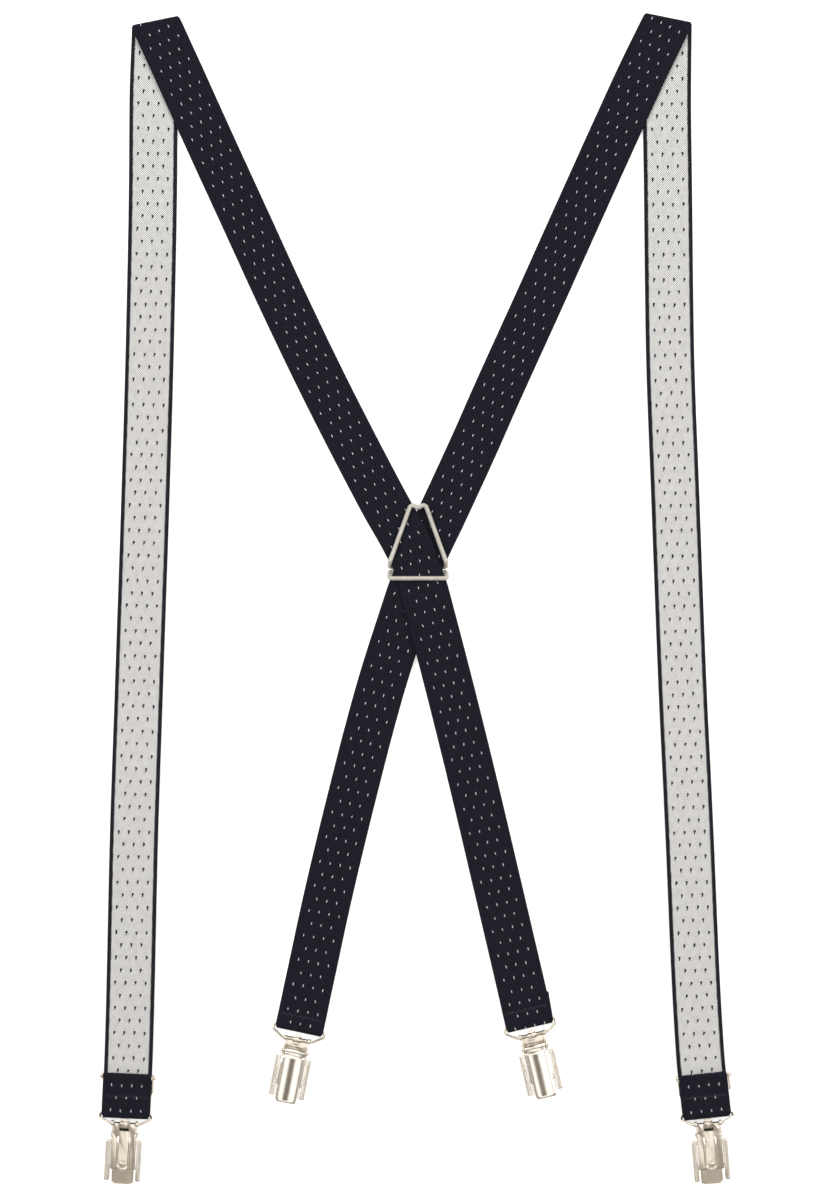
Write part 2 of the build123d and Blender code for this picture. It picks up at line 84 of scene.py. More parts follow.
# ---------------------------------------------------------------- route of each strap
# x, y, height of the underside, yaw of the line across the webbing
STRAPS = {
    "left": {
        "front": "left_front",
        "front_yaw": -2.5,
        "back": "right_back",
        "back_yaw": 13.1,
        "back_seam": 0.0077,
        "back_anchor": 0.0010,
        "flap_shift": 0.0008,
        "run": [
            (-0.1458, -0.1131, FRONT_LIFT, -1.6),
            (-0.1453, -0.0980, FRONT_LIFT, -1.7),
            (-0.1436, -0.0450, 0, -1.9),
            (-0.1403, 0.0525, 0, -1.8),
            (-0.1379, 0.1354, 0, -1.4),
            (-0.1363, 0.2182, 0, -0.7),
            (-0.1360, 0.2596, 0, -0.6),
        ],
        "fold": (-0.1347, 0.2989, 11.5),
        "diagonal": [
            (-0.1222, 0.2716, 0.0016, 23.5),
            (-0.1086, 0.2415, 0.0013, 24.5),
            (-0.0880, 0.1966, 0, 24.6),
            (-0.0694, 0.1561, 0, 25.3),
            (-0.0472, 0.1100, 0, 26.4),
            (-0.0170, 0.0515, CROSS_HIGH, 27.5),
            (-0.0028, 0.0255, CROSS_HIGH, 26.0),
            (0.0014, 0.0145, CROSS_HIGH, 19.0),
            (0.0087, -0.0120, CROSS_HIGH, 15.6),
            (0.0248, -0.0750, 0, 14.2),
            (0.0437, -0.1545, 0, 13.2),
            (0.0520, -0.1900, 0, 13.1),
            (0.0549, -0.2025, OVER_FLAP, 13.1),
            (0.0562, -0.2083, OVER_FLAP, 13.1),
        ],
    },
    "right": {
        "front": "right_front",
        "front_yaw": 6.0,
        "back": "left_back",
        "back_yaw": -12.0,
        "back_seam": 0.0060,
        "back_anchor": -0.0088,
        "flap_shift": 0.0,
        "run": [
            (0.1408, -0.1131, FRONT_LIFT, 2.7),
            (0.1401, -0.0980, FRONT_LIFT, 2.6),
            (0.1377, -0.0450, 0, 2.4),
            (0.1340, 0.0525, 0, 2.0),
            (0.1311, 0.1354, 0, 1.2),
            (0.1301, 0.2182, 0, 0.7),
            (0.1296, 0.2596, 0, 0.4),
        ],
        "fold": (0.1299, 0.3004, -11.5),
        "diagonal": [
            (0.1170, 0.2740, 0.0016, -23.5),
            (0.1030, 0.2435, 0.0013, -24.3),
            (0.0818, 0.1966, 0, -24.3),
            (0.0636, 0.1561, 0, -24.3),
            (0.0401, 0.1043, 0, -24.3),
            (0.0313, 0.0843, 0, -24.3),
            (0.0130, 0.0445, CROSS_LOW, -24.6),
            (0.0039, 0.0250, CROSS_LOW, -23.0),
            (-0.0004, 0.0120, CROSS_LOW, -18.0),
            (-0.0060, -0.0050, CROSS_LOW, -16.8),
            (-0.0187, -0.0450, 0, -15.6),
            (-0.0339, -0.1027, 0, -14.4),
            (-0.0463, -0.1545, 0, -13.0),
            (-0.0544, -0.1920, 0, -12.2),
            (-0.0571, -0.2046, OVER_FLAP, -12.0),
            (-0.0583, -0.2104, OVER_FLAP, -12.0),
        ],
    },
}


def across(yaw):
    """Direction across the webbing."""
    return np.array([math.cos(math.radians(yaw)), math.sin(math.radians(yaw)), 0.0])


def along(yaw):
    """Direction along the webbing, away from the clips."""
    return np.array([-math.sin(math.radians(yaw)), math.cos(math.radians(yaw)), 0.0])


# ---------------------------------------------------------------- camera, light and floor
def put(name, data):
    """New object in the scene."""
    thing = bpy.data.objects.new(name, data)
    bpy.context.scene.collection.objects.link(thing)
    return thing


def add_camera():
    """Straight above, framed as a catalogue picture of the whole flat lay."""
    distance = 2.0
    seen_height = 0.6211
    data = bpy.data.cameras.new("camera")
    data.sensor_width = 36
    data.lens = data.sensor_width * distance / seen_height
    camera = put("camera", data)
    camera.location = (-0.0005, 0.0008, distance)
    bpy.context.scene.camera = camera


def add_softbox(name, place, size, power):
    """Square area light that points at the middle of the floor."""
    data = bpy.data.lights.new(name, "AREA")
    data.size = size
    data.energy = power
    light = put(name, data)
    light.location = place
    light.rotation_mode = "QUATERNION"
    light.rotation_quaternion = (-Vector(place)).to_track_quat("-Z", "Y")


def add_studio():
    """White table, the room round it and three softboxes."""
    half = 4.0
    top = -0.0003
    corners = [(-half, -half, top), (half, -half, top), (half, half, top), (-half, half, top)]
    mesh = bpy.data.meshes.new("table_top")
    mesh.from_pydata(corners, [], [(0, 1, 2, 3)])
    paper = Nodes(new_material("table_paper"))
    paper.set(Base_Color=(0.93, 0.93, 0.93, 1), Roughness=0.9, Specular_IOR_Level=0.2)
    paper.set(Emission_Color=(1, 1, 1, 1), Emission_Strength=0.5)
    mesh.materials.append(paper.owner)
    put("table_top", mesh)
    add_softbox("softbox_left", (-1.3, 0.5, 1.5), 1.2, 16)
    add_softbox("softbox_right", (1.4, 0.1, 1.3), 0.9, 13)
    add_softbox("softbox_back", (0.1, 1.7, 1.2), 1.0, 9)
    add_room()


def add_room():
    """What the metal reflects: bands from the floor to the ceiling, and a dim warm patch in it."""
    world = bpy.data.worlds.new("studio")
    bpy.context.scene.world = world
    world.use_nodes = True
    n = Nodes(world)
    direction = n.tree.nodes.new("ShaderNodeTexCoord")
    split = n.tree.nodes.new("ShaderNodeSeparateXYZ")
    n.feed(split.inputs[0], direction.outputs["Generated"])
    ramp = n.tree.nodes.new("ShaderNodeValToRGB")
    n.feed(ramp.inputs[0], split.outputs["Z"])
    bands = [
        (0.0, (0.16, 0.14, 0.12)),
        (0.10, (0.05, 0.045, 0.035)),
        (0.32, (0.08, 0.07, 0.055)),
        (0.47, (0.62, 0.60, 0.56)),
        (0.60, (0.66, 0.64, 0.60)),
        (0.74, (0.34, 0.31, 0.27)),
        (0.88, (0.38, 0.35, 0.30)),
        (0.94, (1.42, 1.40, 1.36)),
        (1.0, (1.38, 1.34, 1.28)),
    ]
    elements = ramp.color_ramp.elements
    elements[0].position, elements[0].color = bands[0][0], (*bands[0][1], 1)
    elements[1].position, elements[1].color = bands[-1][0], (*bands[-1][1], 1)
    for position, colour in bands[1:-1]:
        elements.new(position).color = (*colour, 1)
    squares = []
    for axis, middle, reach in (("X", -0.06, 0.15), ("Y", -0.12, 0.11)):
        off = n.math("DIVIDE", n.math("SUBTRACT", split.outputs[axis], middle), reach)
        squares.append(n.math("MULTIPLY", off, off))
    near = n.math("ADD", *squares)
    overhead = n.math("GREATER_THAN", split.outputs["Z"], 0.5)
    patch = n.tree.nodes.new("ShaderNodeClamp")
    n.feed(patch.inputs["Value"], n.math("MULTIPLY", n.math("SUBTRACT", 1.35, near), overhead))
    colour = n.mix(patch.outputs[0], ramp.outputs[0], (0.15, 0.125, 0.095, 1))
    n.feed(n.tree.nodes["Background"].inputs["Color"], colour)


# ---------------------------------------------------------------- materials
def new_material(name):
    material = bpy.data.materials.new(name)
    material.use_nodes = True
    return material


class Nodes:
    """Short way to add and join the nodes of a material or of the world."""

    def __init__(self, owner):
        self.owner = owner
        self.tree = owner.node_tree

    def feed(self, socket, value):
        if isinstance(value, bpy.types.NodeSocket):
            self.tree.links.new(value, socket)
        else:
            socket.default_value = value

    def math(self, operation, first, second=0.0, third=0.0):
        node = self.tree.nodes.new("ShaderNodeMath")
        node.operation = operation
        for socket, value in zip(node.inputs, (first, second, third)):
            self.feed(socket, value)
        return node.outputs[0]

    def mix(self, factor, first, second):
        node = self.tree.nodes.new("ShaderNodeMix")
        node.data_type = "RGBA"
        self.feed(node.inputs["Factor"], factor)
        self.feed(node.inputs["A"], first)
        self.feed(node.inputs["B"], second)
        return node.outputs["Result"]

    def scaled(self, value, low, high, to_low, to_high):
        node = self.tree.nodes.new("ShaderNodeMapRange")
        for socket, number in zip(node.inputs, (value, low, high, to_low, to_high)):
            self.feed(socket, number)
        return node.outputs[0]

    def noise(self, vector, scale, detail=3.0):
        node = self.tree.nodes.new("ShaderNodeTexNoise")
        self.feed(node.inputs["Vector"], vector)
        node.inputs["Scale"].default_value = scale
        node.inputs["Detail"].default_value = detail
        return node.outputs["Fac"]

    def bump(self, height, strength, distance):
        node = self.tree.nodes.new("ShaderNodeBump")
        node.inputs["Strength"].default_value = strength
        node.inputs["Distance"].default_value = distance
        self.feed(node.inputs["Height"], height)
        self.set(Normal=node.outputs["Normal"])

    def set(self, **values):
        shader = self.tree.nodes["Principled BSDF"]
        for key, value in values.items():
            self.feed(shader.inputs[key.replace("_", " ")], value)

    def weave(self):
        """Millimetres across and along the webbing, as two sockets."""
        place = self.tree.nodes.new("ShaderNodeAttribute")
        place.attribute_name = "weave"
        split = self.tree.nodes.new("ShaderNodeSeparateXYZ")
        self.feed(split.inputs[0], place.outputs["Vector"])
        return place.outputs["Vector"], split.outputs["X"], split.outputs["Y"]

    def yarns(self, across_mm, along_mm, rib, pick):
        """Height of a plain weave, from -1 between the yarns to 1 on top of them."""
        rib_wave = self.math("SINE", self.math("MULTIPLY", across_mm, math.tau / rib))
        pick_wave = self.math("SINE", self.math("MULTIPLY", along_mm, math.tau / pick))
        return self.math("MULTIPLY", rib_wave, pick_wave)


# Navy from the painted shade between the ribs to the painted highlight on their tops.
NAVY_HOLLOW_SHADE = (0.0022, 0.0023, 0.0050, 1)
NAVY_RIB_HIGHLIGHT = (0.0370, 0.0390, 0.0640, 1)
PALE_LIGHT = (0.82, 0.82, 0.815, 1)
PALE_DARK = (0.07, 0.07, 0.08, 1)


def navy_weave(n, across_mm, along_mm, place):
    """Navy yarn colour, with painted highlight on the tops of the ribs, stronger in random patches, and
    painted shade between them; and its height.
    """
    height = n.yarns(across_mm, along_mm, 1.16, 1.2)
    # Colour by the weave's height: painted highlight on the rib tops, painted shade in the hollows.
    top = n.scaled(height, -0.2, 0.9, 0.0, 1.0)
    lint_and_sheen = n.scaled(n.noise(place, 1.1, 6.0), 0.35, 0.7, 0.0, 1.0)
    amount = n.math("MULTIPLY", top, n.math("MULTIPLY_ADD", lint_and_sheen, 0.7, 0.35))
    return n.mix(amount, NAVY_HOLLOW_SHADE, NAVY_RIB_HIGHLIGHT), height


def outer_webbing():
    """Navy outer face: fine lengthwise ribs crossed by the weft."""
    n = Nodes(new_material("webbing_navy_face"))
    place, across_mm, along_mm = n.weave()
    colour, height = navy_weave(n, across_mm, along_mm, place)
    n.set(Base_Color=colour, Roughness=0.85, Specular_IOR_Level=0.12)
    n.set(Sheen_Weight=0.05, Sheen_Roughness=0.5, Sheen_Tint=(0.5, 0.55, 0.8, 1))
    n.bump(height, 0.55, 0.00010)
    return n.owner


def inner_webbing():
    """Pale inner face with a fine checked weave and a ragged navy border along each selvedge."""
    n = Nodes(new_material("webbing_pale_face"))
    place, across_mm, along_mm = n.weave()
    navy, _ = navy_weave(n, across_mm, along_mm, place)
    height = n.yarns(across_mm, along_mm, 1.18, 1.2)
    hollow = n.scaled(height, 0.3, -0.7, 0.0, 1.0)
    soft = n.scaled(n.noise(place, 0.35, 4.0), 0.3, 0.7, 0.7, 1.0)
    pale = n.mix(n.math("MULTIPLY", hollow, soft), PALE_LIGHT, PALE_DARK)
    step = n.math("SINE", n.math("MULTIPLY", along_mm, math.tau / 1.05))
    ragged = n.math("MULTIPLY_ADD", n.math("SIGN", step), 0.16, 10.15)
    ragged = n.math("MULTIPLY_ADD", n.noise(place, 0.8, 2.0), 0.5, ragged)
    border = n.math("GREATER_THAN", n.math("ABSOLUTE", across_mm), ragged)
    n.set(Base_Color=n.mix(border, pale, navy), Roughness=0.85, Specular_IOR_Level=0.2)
    n.set(Sheen_Weight=0.1, Sheen_Roughness=0.5)
    n.bump(height, 0.5, 0.00010)
    return n.owner


def yarn(name, dark, light, roughness):
    """One twisted yarn, with fine plies along it."""
    n = Nodes(new_material(name))
    place = n.tree.nodes.new("ShaderNodeTexCoord").outputs["Object"]
    plies = n.noise(place, 5200.0, 2.0)
    tone = n.noise(place, 320.0, 3.0)
    amount = n.math("MULTIPLY_ADD", plies, 0.6, n.math("MULTIPLY", tone, 0.5))
    n.set(Base_Color=n.mix(n.scaled(amount, 0.3, 0.8, 0.0, 1.0), dark, light))
    n.set(Roughness=roughness, Specular_IOR_Level=0.25, Sheen_Weight=0.15)
    n.bump(plies, 0.4, 0.00006)
    return n.owner


def nickel(name, colour, dull, roughness, grain, metallic=1.0):
    """Nickel plate: slight tarnish in patches, fine polishing grain and uneven gloss."""
    n = Nodes(new_material(name))
    place = n.tree.nodes.new("ShaderNodeTexCoord").outputs["Object"]
    patches = n.scaled(n.noise(place, 190.0, 4.0), 0.35, 0.75, 0.0, 1.0)
    fine = n.noise(place, 2600.0, 4.0)
    n.set(Base_Color=n.mix(patches, colour, dull), Metallic=metallic)
    n.set(Roughness=n.scaled(fine, 0.3, 0.7, roughness * 0.75, roughness * 1.35))
    n.bump(fine, grain, 0.00003)
    return n.owner


def make_materials():
    return {
        "outer": outer_webbing(),
        "inner": inner_webbing(),
        "pin_dash": yarn("pin_dash_yarn", (0.70, 0.70, 0.71, 1), (0.95, 0.95, 0.95, 1), 0.6),
        "tick": yarn("navy_tick_yarn", (0.006, 0.006, 0.011, 1), (0.02, 0.02, 0.03, 1), 0.85),
        "seam": yarn("seam_thread", (0.012, 0.012, 0.02, 1), (0.06, 0.06, 0.08, 1), 0.7),
        "crossing_nickel": nickel(
            "satin_nickel", (0.60, 0.58, 0.53, 1), (0.50, 0.48, 0.43, 1), 0.5, 0.4, 0.35
        ),
        "nickel_wire": nickel("wire_nickel", (0.72, 0.67, 0.58, 1), (0.60, 0.55, 0.46, 1), 0.2, 0.2),
        "nickel_sheet": nickel("sheet_nickel", (0.82, 0.76, 0.67, 1), (0.70, 0.63, 0.54, 1), 0.2, 0.2),
        "nickel_teeth": nickel("jaw_nickel", (0.84, 0.80, 0.74, 1), (0.74, 0.69, 0.62, 1), 0.2, 0.2),
        "polished_nickel": nickel(
            "lever_nickel", (0.90, 0.86, 0.80, 1), (0.82, 0.77, 0.70, 1), 0.12, 0.08
        ),
        # Inside of the lever's channel: rougher nickel, its colour darkened as painted shade for the
        # recess.
        "dull_shaded_nickel": nickel("shaded_pan_nickel", (0.50, 0.45, 0.38, 1), (0.42, 0.37, 0.30, 1), 0.3, 0.2),
        # Near-black metal for the plates in the base's slots: painted shadow standing in for the dark gaps
        # there.
        "painted_slot_shadow": nickel("painted_slot_shadow", (0.05, 0.045, 0.04, 1), (0.03, 0.028, 0.025, 1), 0.5, 0.2),
    }


# ---------------------------------------------------------------- rows of webbing
def smooth_through(at, values, where):
    """Monotone cubic through the values, so that no bend or rise overshoots its stations."""
    step = np.diff(at)
    slope = np.diff(values) / step
    before, after = slope[:-1], slope[1:]
    weight_a, weight_b = 2 * step[1:] + step[:-1], step[1:] + 2 * step[:-1]
    same = before * after > 0
    safe_before, safe_after = np.where(same, before, 1), np.where(same, after, 1)
    harmonic = (weight_a + weight_b) / (weight_a / safe_before + weight_b / safe_after)
    tangent = np.concatenate([[slope[0]], np.where(same, harmonic, 0), [slope[-1]]])
    cell = np.clip(np.searchsorted(at, where, side="right") - 1, 0, len(step) - 1)
    h = step[cell]
    t = (where - at[cell]) / h
    start = (1 + 2 * t) * (1 - t) ** 2 * values[cell] + t * (1 - t) ** 2 * h * tangent[cell]
    end = t * t * (3 - 2 * t) * values[cell + 1] + t * t * (t - 1) * h * tangent[cell + 1]
    return start + end


def run_rows(stations):
    """Rows through stations of x, y, underside z, yaw and width factor."""
    table = np.array(stations, float)
    hops = np.hypot(np.diff(table[:, 0]), np.diff(table[:, 1]))
    at = np.concatenate([[0], np.cumsum(hops)])
    where = np.linspace(0, at[-1], math.ceil(at[-1] / ROW_SPACING) + 1)
    centre = np.stack([smooth_through(at, table[:, k], where) for k in range(3)], axis=1)
    centre[:, 2] += WEB_THICK / 2
    arrow = np.array([across(row[3]) * row[4] for row in table])
    arrows = np.stack([np.interp(where, at, arrow[:, k]) for k in range(3)], axis=1)
    return centre, arrows, np.zeros(len(where))


def turn_rows(middle, outward, radius, rising, arrow, count, narrow):
    """Rows round a half turn, upwards where it rises. The webbing draws in there by the share
    narrow, which never quite reaches 0, and that tells a turn's rows from flat ones."""
    angle = np.linspace(0, math.pi, count)[:, None]
    height = -np.cos(angle) if rising else np.cos(angle)
    centre = middle + radius * (height * UP + np.sin(angle) * outward)
    return centre, np.tile(arrow, (count, 1)), 1e-6 + narrow * np.sin(angle[:, 0])


def straight_rows(start, end, arrow, spacing):
    """Rows between two points at the middle of the webbing's thickness."""
    count = math.ceil(np.linalg.norm(end - start) / spacing) + 1
    share = np.linspace(0, 1, count)[:, None]
    return start + (end - start) * share, np.tile(arrow, (count, 1)), np.zeros(count)


def unit(vectors):
    return vectors / np.linalg.norm(vectors, axis=-1, keepdims=True)


def pinch(middle):
    """How far the crossing wire draws the webbing in, as a factor of its width."""
    close = np.abs(middle[..., 0]) < 0.03
    near = np.exp(-(((middle[..., 1] - PINCH_Y) / PINCH_REACH) ** 2)) * close
    return 1 - PINCH_SHARE * near


class Rows:
    """Webbing as rows across it: middle, arrow across, outer normal and distance along."""

    def __init__(self, stretches):
        kept = [
            tuple(part[1:] if number else part for part in stretch)
            for number, stretch in enumerate(stretches)
        ]
        self.counts = np.cumsum([len(part[0]) for part in kept])
        middle, arrow, narrow = (np.concatenate([part[k] for part in kept]) for k in range(3))
        self.middle = middle
        travel = unit(np.gradient(middle, axis=0))
        self.normal = unit(np.cross(travel, arrow))
        hops = np.linalg.norm(np.diff(middle, axis=0), axis=1)
        self.along = np.concatenate([[0], np.cumsum(hops)])
        skew = (arrow * travel).sum(1)
        index = np.arange(len(skew))
        flat = narrow == 0
        self.skew = np.interp(index, index[flat], skew[flat])
        self.arrow = arrow * (pinch(middle) * (1 - narrow))[:, None]

    def at(self, along, across_m):
        """Middle plane points and outward directions at places on the webbing."""
        along = along - across_m * np.interp(along, self.along, self.skew)
        middle, arrow, normal = (
            np.stack([np.interp(along, self.along, table[:, k]) for k in range(3)], axis=-1)
            for table in (self.middle, self.arrow, self.normal)
        )
        return middle + arrow * across_m[..., None], unit(normal)


def front_point(strap, y, z):
    """Point in the frame of a front end: y up the strap from the ring's bar, z above the floor."""
    bar = joint_at[f"{strap['front']}_ring_swing"]
    return np.array([bar.x, bar.y, 0.0]) + along(strap["front_yaw"]) * y + UP * z


def end_rows(strap):
    """Sewn flap, wrap round the adjuster's bar, return to the ring and the turn round the ring."""
    yaw = strap["front_yaw"]
    arrow, outward = across(yaw), along(yaw)
    wrap = BAR_WRAP + WEB_THICK / 2
    loop = FRONT_LOOP + WEB_THICK / 2
    flap_z, return_z = BAR_Z - wrap, BAR_Z + wrap
    flap_end = front_point(strap, BAR_Y - FRONT_FLAP, flap_z)
    flap_top = front_point(strap, BAR_Y, flap_z)
    return_top = front_point(strap, BAR_Y, return_z)
    return_end = front_point(strap, 0, return_z)
    return [
        straight_rows(flap_end, flap_top, arrow, 0.001),
        turn_rows(front_point(strap, BAR_Y, BAR_Z), outward, wrap, True, arrow, 13, 0.02),
        straight_rows(return_top, return_end, arrow, 0.0005),
        turn_rows(front_point(strap, 0, FRONT_AXIS_Z), -outward, loop, False, arrow, 15, 0.06),
    ]


def strap_rows(strap):
    """The whole strap, from its sewn front flap over the shoulder to its sewn back flap."""
    x, y, yaw = strap["fold"]
    start = front_point(strap, 0, FRONT_LIFT)
    straight_end = front_point(strap, END_STRAIGHT, FRONT_LIFT)
    lower = [(*start, strap["front_yaw"], 1), (*straight_end, strap["front_yaw"], 1)]
    lower += [(*station, 1) for station in strap["run"]]
    lower += [(x, y, 0, yaw, FOLD_STRETCH)]
    roll = SHOULDER_ROLL + WEB_THICK / 2
    upper_z = WEB_THICK + 2 * SHOULDER_ROLL
    back_yaw = strap["back_yaw"]
    bar = joint_at[f"{strap['back']}_ring_swing"]
    back_bar = np.array([bar.x, bar.y, WEB_THICK + BACK_LOOP])
    loop = BACK_LOOP + WEB_THICK / 2
    upper = [(x, y, upper_z, yaw, FOLD_STRETCH)]
    upper += [(*station, 1) for station in strap["diagonal"]]
    upper += [(bar.x, bar.y, WEB_THICK + 2 * BACK_LOOP, back_yaw, 1)]
    flap_start = back_bar - UP * loop
    flap_end = flap_start + along(back_yaw) * BACK_FLAP + across(back_yaw) * strap["flap_shift"]
    fold_axis = np.array([x, y, WEB_THICK + SHOULDER_ROLL])
    fold_arrow = across(yaw) * FOLD_STRETCH
    stretches = end_rows(strap)
    stretches += [
        run_rows(lower),
        turn_rows(fold_axis, along(yaw), roll, True, fold_arrow, 13, 0.06),
        run_rows(upper),
        turn_rows(back_bar, -along(back_yaw), loop, False, across(back_yaw), 13, 0.05),
        straight_rows(flap_start, flap_end, across(back_yaw), 0.001),
    ]
    return Rows(stretches)


# ---------------------------------------------------------------- webbing meshes
def new_piece(name, points, faces, finishes):
    """Smooth mesh object with its materials."""
    mesh = bpy.data.meshes.new(name)
    mesh.from_pydata(points, [], faces)
    mesh.polygons.foreach_set("use_smooth", [True] * len(faces))
    for finish in finishes:
        mesh.materials.append(materials[finish])
    piece = put(name, mesh)
    return piece


def web_profile():
    """Points round the webbing's section as metres across and height, how many of them make
    the outer face with its bend, and how many make a face alone."""
    flat_half = WEB_HALF - EDGE_BEND
    outer = [(u, WEB_THICK / 2) for u in np.linspace(-flat_half, flat_half, 19)]
    bend = [
        (flat_half + EDGE_BEND * math.sin(a), WEB_THICK / 2 * math.cos(a))
        for a in np.linspace(0, math.pi, 7)[1:-1]
    ]
    inner = [(-u, -w) for u, w in outer]
    back_bend = [(-u, -w) for u, w in bend]
    return np.array(outer + bend + inner + back_bend), len(outer) + len(bend), len(outer)


def webbing_piece(name, rows, first, last):
    """Closed mesh of the webbing from one row to another."""
    section, half_count, flat_count = web_profile()
    pick = slice(first, last + 1)
    middle, arrow, normal = rows.middle[pick], rows.arrow[pick], rows.normal[pick]
    u, w = section[:, 0][None, :, None], section[:, 1][None, :, None]
    points = middle[:, None] + arrow[:, None] * u + normal[:, None] * w
    distance = rows.along[pick][:, None] + rows.skew[pick][:, None] * section[:, 0][None]
    count, around = len(middle), len(section)
    faces, slots = [], []
    for row in range(count - 1):
        for k in range(around):
            after = (k + 1) % around
            a, b = row * around + k, row * around + after
            faces.append((a, b, b + around, a + around))
            slots.append(1 if half_count <= k < half_count + flat_count - 1 else 0)
    faces.append(tuple(reversed(range(around))))
    faces.append(tuple(range((count - 1) * around, count * around)))
    slots += [0, 0]
    vertices = points.reshape(-1, 3).tolist()
    piece = new_piece(name, vertices, faces, ["outer", "inner"])
    mesh = piece.data
    mesh.polygons.foreach_set("use_smooth", [True] * (len(faces) - 2) + [False, False])
    mesh.polygons.foreach_set("material_index", slots)
    weave = np.zeros((count, around, 3))
    weave[:, :, 0] = section[:, 0][None] / MM
    weave[:, :, 1] = distance / MM
    attribute = mesh.attributes.new("weave", "FLOAT_VECTOR", "POINT")
    attribute.data.foreach_set("vector", weave.astype(np.float32).ravel())
    return piece


# ---------------------------------------------------------------- woven floats and stitches
ROW_PITCH = 0.0065
COLUMN_PITCH = 0.00525
STEPS = np.array([-1, -0.6, 0, 0.6, 1])
RISE = np.array([0.1, 0.85, 1, 0.85, 0.1])
PROFILE_ACROSS = np.array([-1, -0.7, 0, 0.7, 1])
PROFILE_UP = np.array([-0.4, 0.65, 1, 0.65, -0.4])
DASH = {
    "half_length": 0.00072,
    "lean_spread": 0.10,
    "half_width": 0.0002,
    "tall": 0.00012,
    "widths": [0.5, 0.95, 1, 0.95, 0.5],
    "drift": [0, 0, 0, 0, 0],
}
TICK = {
    "half_length": 0.00110,
    "lean_spread": 0.08,
    "half_width": 0.00068,
    "tall": 0.0001,
    "widths": [0.25, 0.4, 0.75, 1.0, 0.85],
    "drift": [-0.0003, -0.00014, 0, 0.00004, 0],
}
STITCH = {
    "half_width": 0.00014,
    "tall": 0.0002,
    "widths": [0.6, 1, 1, 1, 0.6],
    "drift": [0, 0, 0, 0, 0],
}


def threads(name, rows, side, strands, shape, finish):
    """Short threads on one face of the webbing. Strands hold the distance along, the place
    across, the lean in radians and half of the length."""
    along_m, across_m, lean, half = (np.array(strands, float)[:, k][:, None] for k in range(4))
    along_at = along_m + STEPS * half * np.cos(lean)
    across_at = across_m + STEPS * half * np.sin(lean) + np.array(shape["drift"])
    place, normal = rows.at(along_at, across_at)
    side_way = unit(np.cross(normal, (place[:, -1] - place[:, 0])[:, None]))
    wide = (shape["half_width"] * np.array(shape["widths"]))[:, None] * PROFILE_ACROSS
    tall = WEB_THICK / 2 + shape["tall"] * RISE[:, None] * PROFILE_UP
    points = place[:, :, None] + side_way[:, :, None] * wide[None, :, :, None]
    points = points + normal[:, :, None] * side * tall[None, :, :, None]
    around = len(PROFILE_UP)
    per_thread = around * len(STEPS)
    faces = []
    for base in range(0, per_thread * len(points), per_thread):
        last = base + per_thread - 1
        for row in range(base, last - around, around):
            for k in range(around):
                a, b = row + k, row + (k + 1) % around
                loop = (a, a + around, b + around, b)
                faces.append(loop if side > 0 else (a, b, b + around, a + around))
        ends = [tuple(range(base, base + around)), tuple(range(last, last - around, -1))]
        faces += ends if side > 0 else [end[::-1] for end in ends]
    return new_piece(name, points.reshape(-1, 3).tolist(), faces, [finish])


def dash_places(low, high, anchor):
    """Distance along and place across of each dash: rows of four and three in turn."""
    first = math.ceil((low - anchor) / ROW_PITCH)
    last = math.floor((high - anchor) / ROW_PITCH)
    for row in range(first, last + 1):
        columns = 4 if row % 2 == 0 else 3
        for column in range(columns):
            yield anchor + row * ROW_PITCH, (column - (columns - 1) / 2) * COLUMN_PITCH


def strands_between(low, high, anchor, dice, shape):
    """Strands of the woven pattern between two distances, each a little different."""
    margin = 0.0012
    strands = []
    for distance, across_m in dash_places(low + margin, high - margin, anchor):
        along_m = distance + dice.gauss(0, 0.00013)
        half = shape["half_length"] * dice.uniform(0.88, 1.12)
        across_m += dice.gauss(0, 0.00008)
        strands.append((along_m, across_m, dice.gauss(0, shape["lean_spread"]), half))
    return strands


def seam_strands(distance):
    """Zigzag seam across the webbing, one short thread for each stitch."""
    stitches, height, span = 15, 0.0013, 0.022
    pitch = span / stitches
    lean = math.atan2(pitch, height)
    half = (math.hypot(height, pitch) + 0.0003) / 2
    return [
        (distance, (number - (stitches - 1) / 2) * pitch, lean if number % 2 else -lean, half)
        for number in range(stitches)
    ]


